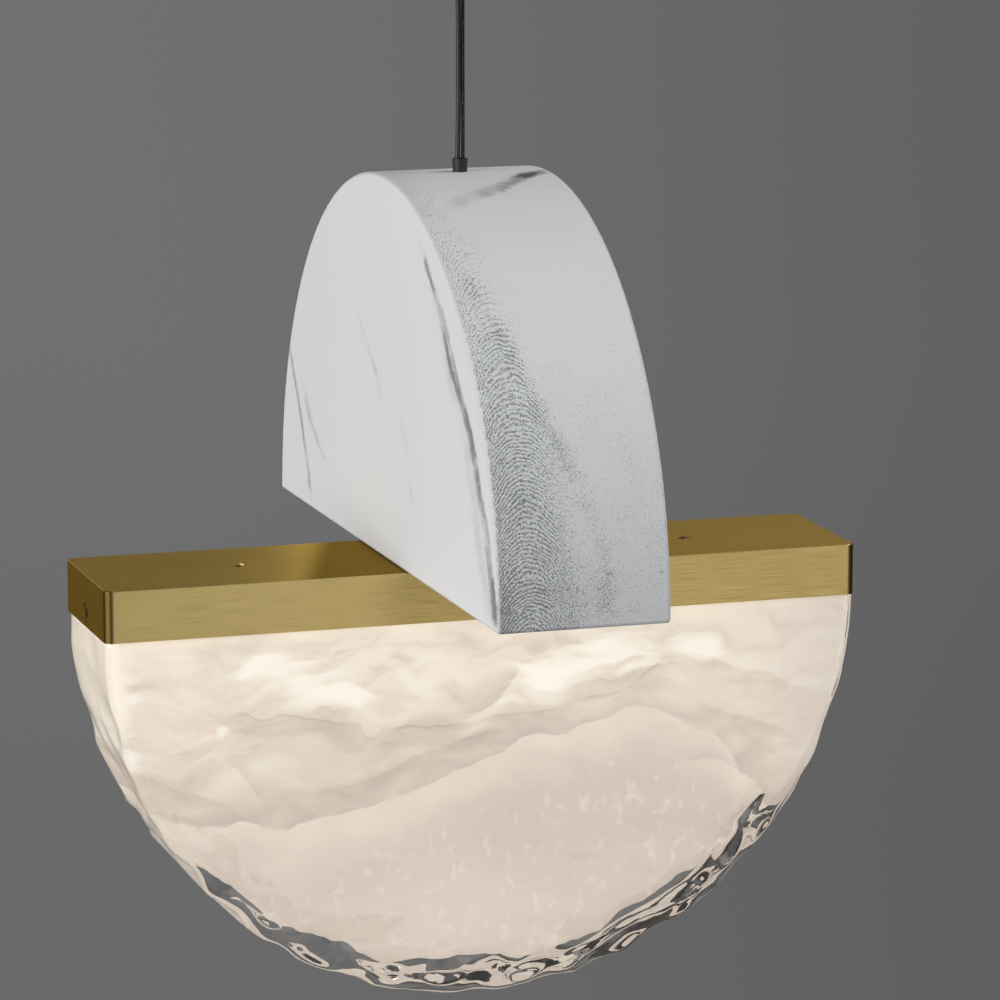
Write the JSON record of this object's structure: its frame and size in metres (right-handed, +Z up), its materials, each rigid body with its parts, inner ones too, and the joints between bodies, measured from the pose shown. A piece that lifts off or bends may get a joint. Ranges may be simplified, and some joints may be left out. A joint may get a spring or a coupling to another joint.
{
  "type": "pendant lamp",
  "caption": "Pendant lamp: a stone half disc stands on a brass bar, a lit glass half disc hangs under it, and a wire rope and cable hold it from a round canopy.",
  "frame": {"origin": "on the ceiling, midway between the bracket's two screw slots, above the middle of the lamp", "axes": "+Z up into the ceiling, +X along the bar to the right seen from the front, -Y the front"},
  "size_m": [0.3, 0.296, 0.4339],
  "materials": {
    "white_marble": "honed white marble with grey veins",
    "brushed_brass": "fine brushed, satin lacquer",
    "brass_screw": "turned, satin",
    "turned_brass": "turned",
    "cast_glass": "clear moulded outside with soft folds, frosted inside",
    "black_nylon": "moulded",
    "cable_jacket": "smooth jacket",
    "wire_rope": "blackened strands",
    "zinc_steel": "zinc plated",
    "stainless_steel": "satin",
    "tray_aluminium": "mill finish",
    "white_plastic": "moulded",
    "nylon": "natural, moulded",
    "wire_pvc": "insulation",
    "silicone": "translucent",
    "silicone_black": "matte",
    "board_white": "white solder mask",
    "led_phosphor": "phosphor",
    "opal_acrylic": "opal"
  },
  "bodies": {
    "ceiling_mount": {"ceiling_bracket": "zinc_steel", "suspension_nipple": "zinc_steel", "nipple_lock_nuts": "zinc_steel", "canopy_cup": "brushed_brass", "canopy_ring_nut": "brushed_brass", "led_driver": "white_plastic", "terminal_block": "nylon", "driver_leads": "wire_pvc", "canopy_cable": "cable_jacket"},
    "swivel": {"ball_seat": "turned_brass"},
    "swing_link": {"rope_ball": "stainless_steel"},
    "lamp": {"suspension_rope": "wire_rope", "power_cable": "cable_jacket", "rope_in_marble": "wire_rope", "cable_in_marble": "cable_jacket", "marble_gland": "black_nylon", "marble_half_disc": "white_marble", "marble_inserts": "turned_brass", "marble_bolts": "stainless_steel", "bolt_washers": "stainless_steel", "bar_cover": "brushed_brass", "inner_tray": "tray_aluminium", "top_screws": "brass_screw", "end_screws": "brass_screw", "screw_sleeves": "silicone", "rope_ferrule": "tray_aluminium", "ferrule_washer": "stainless_steel", "cable_grommet": "silicone_black", "splice_connector": "nylon", "led_board_left": "board_white", "led_board_right": "board_white", "led_chips": "led_phosphor", "board_screws": "stainless_steel", "led_lens_left": "opal_acrylic", "led_lens_right": "opal_acrylic", "board_leads": "wire_pvc", "glass_shade": "cast_glass", "neck_gasket": "silicone"}
  },
  "joints": [
    {"name": "lamp_turn", "type": "hinge", "parent": "ceiling_mount", "child": "swivel", "pos_m": [0, 0, -0.0326], "axis": [0, 0, 1], "range_deg": [-180, 180]},
    {"name": "swing_front_back", "type": "hinge", "parent": "swivel", "child": "swing_link", "pos_m": [0, 0, -0.0326], "axis": [1, 0, 0], "range_deg": [-15, 15]},
    {"name": "swing_sideways", "type": "hinge", "parent": "swing_link", "child": "lamp", "pos_m": [0, 0, -0.0326], "axis": [0, 1, 0], "range_deg": [-15, 15]}
  ]
}
